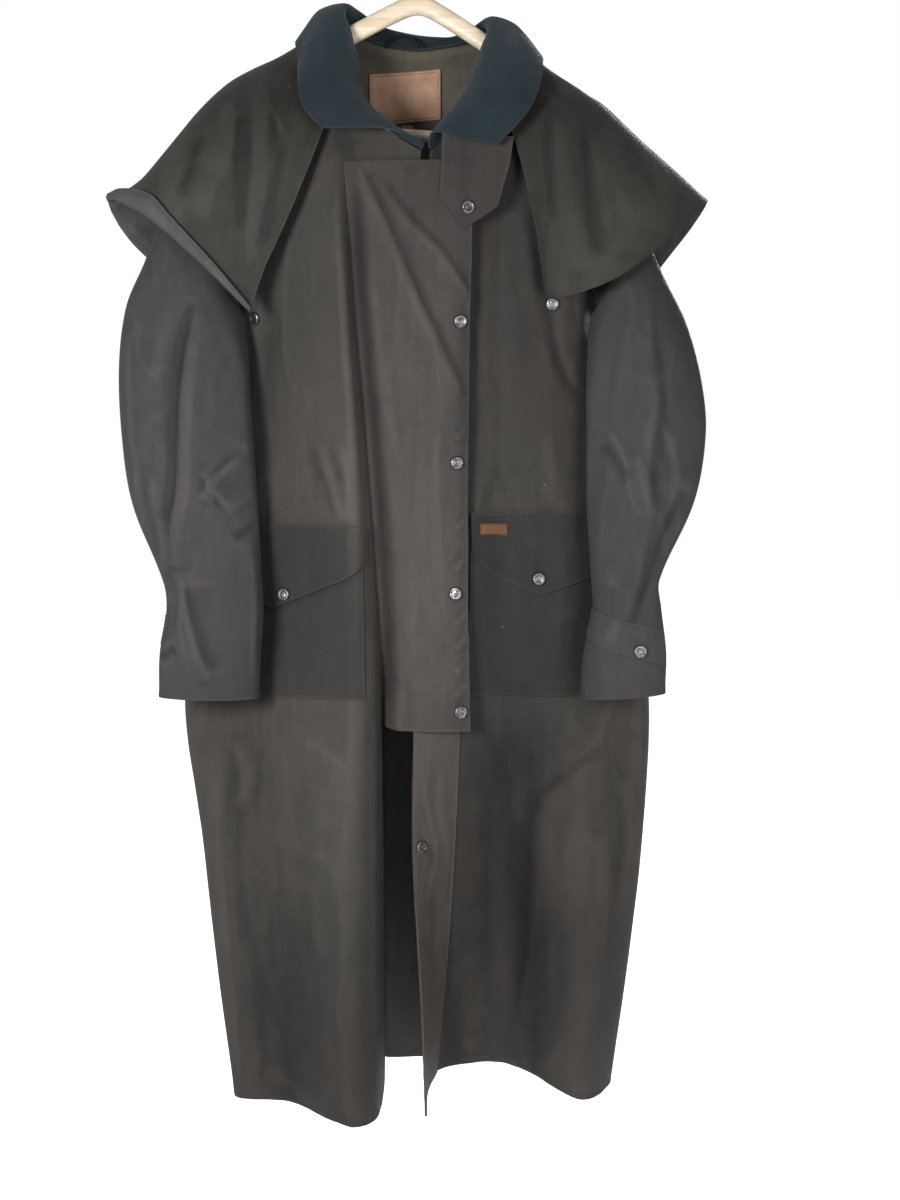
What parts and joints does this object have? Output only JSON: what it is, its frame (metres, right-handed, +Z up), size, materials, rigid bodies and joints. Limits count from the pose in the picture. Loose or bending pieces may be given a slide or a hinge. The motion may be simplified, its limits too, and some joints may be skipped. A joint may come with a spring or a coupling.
{
  "type": "duster coat on a hanger",
  "caption": "Long waxed cotton duster coat with a shoulder cape, storm flap and flapped pockets, hung on a wooden suit hanger with a wire hook.",
  "frame": {"origin": "the point inside the top of the hanger's hook where the hook rests on a rail", "axes": "+Z up, the coat's front faces -Y, and +X is the wearer's left"},
  "size_m": [0.7257, 0.2498, 1.445],
  "materials": {
    "waxed_cotton": "matt with a faint waxy sheen",
    "collar_cord": "matt fine cord",
    "label_leather": "plain, unmarked",
    "snap_metal": "antiqued",
    "hanger_wood": "clear lacquer",
    "hook_wire": "polished"
  },
  "bodies": {
    "root": {"front_right": "waxed_cotton", "front_left": "waxed_cotton", "back_yoke": "waxed_cotton", "back_right": "waxed_cotton", "back_left": "waxed_cotton", "vent_underlap": "waxed_cotton", "sleeve_right_front": "waxed_cotton", "sleeve_right_back": "waxed_cotton", "sleeve_left_front": "waxed_cotton", "sleeve_left_back": "waxed_cotton", "cape_right": "waxed_cotton", "cape_back": "waxed_cotton", "cape_left": "waxed_cotton", "collar_top": "collar_cord", "collar_under": "waxed_cotton", "fly_strip": "waxed_cotton", "storm_flap": "waxed_cotton", "pocket_right": "waxed_cotton", "pocket_flap_right": "waxed_cotton", "pocket_left": "waxed_cotton", "pocket_flap_left": "waxed_cotton", "throat_tab": "waxed_cotton", "cuff_tab_right": "waxed_cotton", "cuff_tab_left": "waxed_cotton", "neck_label": "label_leather", "size_tab": "label_leather", "pocket_label": "label_leather", "hanging_loop": "waxed_cotton", "snap_flap_1": "snap_metal", "snap_flap_2": "snap_metal", "snap_flap_3": "snap_metal", "snap_flap_4": "snap_metal", "snap_fly": "snap_metal", "snap_pocket_right": "snap_metal", "snap_pocket_left": "snap_metal", "snap_cuff_left": "snap_metal", "snap_cuff_right": "snap_metal", "snap_throat": "snap_metal", "snap_cape_left": "snap_metal", "snap_cape_right": "snap_metal", "snap_neck": "snap_metal", "hanger_arms": "hanger_wood", "hanger_bar": "hanger_wood", "hanger_end_right": "hanger_wood", "hanger_end_left": "hanger_wood", "hanger_hook": "hook_wire"}
  },
  "joints": []
}
